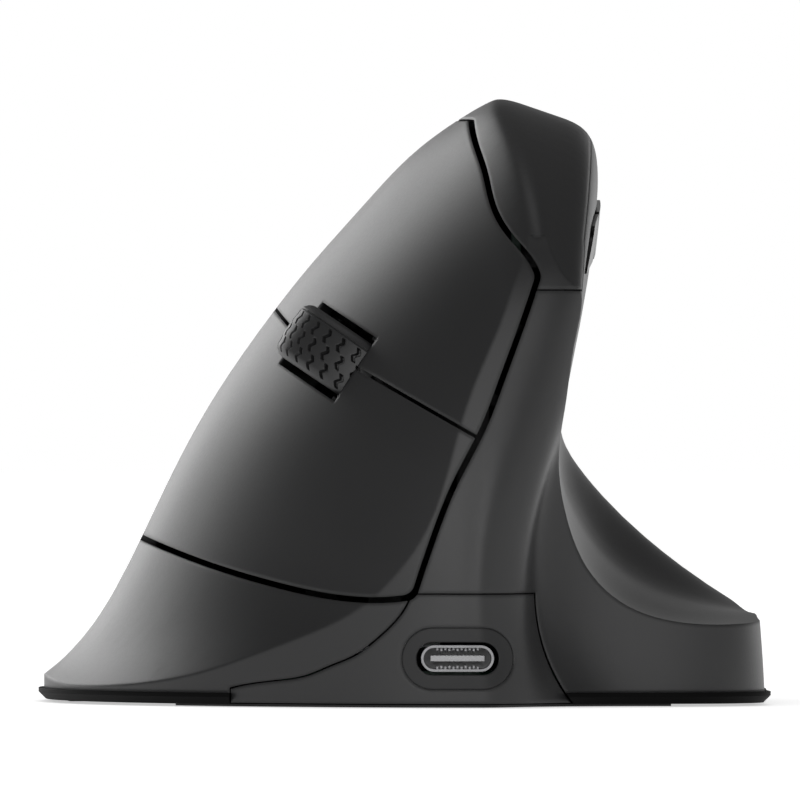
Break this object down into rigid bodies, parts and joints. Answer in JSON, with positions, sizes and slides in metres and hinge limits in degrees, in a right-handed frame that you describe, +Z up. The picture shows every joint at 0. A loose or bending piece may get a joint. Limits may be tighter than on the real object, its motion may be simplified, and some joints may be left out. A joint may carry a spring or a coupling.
{
  "type": "vertical mouse",
  "caption": "Vertical ergonomic mouse for the right hand with a tall hand form, finger buttons on its slope, a scroll wheel, thumb buttons and a charging socket in its nose.",
  "frame": {"origin": "on the resting surface, under the middle of the mouse's overall width and length", "axes": "+Z up, -Y where the fingertips and the nose with the socket point, +X the thumb side"},
  "size_m": [0.0921, 0.1151, 0.0761],
  "materials": {
    "shell": "fine matt, soft sheen",
    "base": "matt",
    "skate": "smooth",
    "trim": "satin",
    "gloss": "high gloss",
    "tyre": "matt",
    "steel": "satin",
    "tongue": "satin",
    "inner_plastic": "matt",
    "board": "satin",
    "lens": "clear",
    "foil": "satin"
  },
  "bodies": {
    "case": {"palm_shell": "shell", "thumb_shell": "shell", "nose_panel": "shell", "base_plate": "base", "skate_front": "skate", "skate_sides": "skate", "skate_rear": "skate", "port_trim": "trim", "usb_shell": "steel", "usb_tongue": "tongue", "wheel_switch": "inner_plastic", "button_frame": "inner_plastic", "hinge_pin": "steel", "index_switch": "inner_plastic", "middle_switch": "inner_plastic", "side_board": "board", "side_switches": "inner_plastic", "main_board": "board", "optical_sensor": "inner_plastic", "sensor_lens": "lens", "battery_tray": "inner_plastic", "battery": "foil", "power_switch": "inner_plastic", "pairing_switch": "inner_plastic", "case_screws": "steel"},
    "index_key": {"index_button": "shell"},
    "middle_key": {"middle_button": "shell"},
    "cradle": {"wheel_cradle": "inner_plastic", "scroll_encoder": "inner_plastic"},
    "wheel": {"wheel_tyre": "tyre", "wheel_hub": "inner_plastic", "wheel_axle": "steel"},
    "forward_key": {"forward_button": "gloss"},
    "back_key": {"back_button": "gloss"},
    "power_key": {"power_slider": "gloss"},
    "pairing_key": {"pairing_button": "gloss"}
  },
  "joints": [
    {"name": "index_press", "type": "hinge", "parent": "case", "child": "index_key", "pos_m": [-0.00938, 0.00106, 0.0458], "axis": [0.5592, 0, 0.829], "range_deg": [0, 0.5], "stiffness_Nm_per_rad": 2.75, "springref_deg": -0.34},
    {"name": "middle_press", "type": "hinge", "parent": "case", "child": "middle_key", "pos_m": [-0.00938, 0.00106, 0.0458], "axis": [0.5592, 0, 0.829], "range_deg": [0, 0.5], "stiffness_Nm_per_rad": 2.75, "springref_deg": -0.34},
    {"name": "wheel_press", "type": "slide", "parent": "case", "child": "cradle", "axis": [0.829, 0, -0.5592], "range_m": [0, 0.0004], "stiffness_N_per_m": 2500, "springref_m": -0.0003},
    {"name": "wheel_spin", "type": "hinge", "parent": "cradle", "child": "wheel", "pos_m": [-0.00449, -0.02584, 0.04102], "axis": [0.5592, 0, 0.829], "continuous": true},
    {"name": "forward_press", "type": "slide", "parent": "case", "child": "forward_key", "axis": [-1, 0, 0], "range_m": [0, 0.0005], "stiffness_N_per_m": 1500, "springref_m": -0.0003},
    {"name": "back_press", "type": "slide", "parent": "case", "child": "back_key", "axis": [-1, 0, 0], "range_m": [0, 0.0005], "stiffness_N_per_m": 1500, "springref_m": -0.0003},
    {"name": "power_slide", "type": "slide", "parent": "case", "child": "power_key", "axis": [1, 0, 0], "range_m": [0, 0.003]},
    {"name": "pairing_press", "type": "slide", "parent": "case", "child": "pairing_key", "axis": [0, 0, 1], "range_m": [0, 0.0003], "stiffness_N_per_m": 1500, "springref_m": -0.0003}
  ]
}
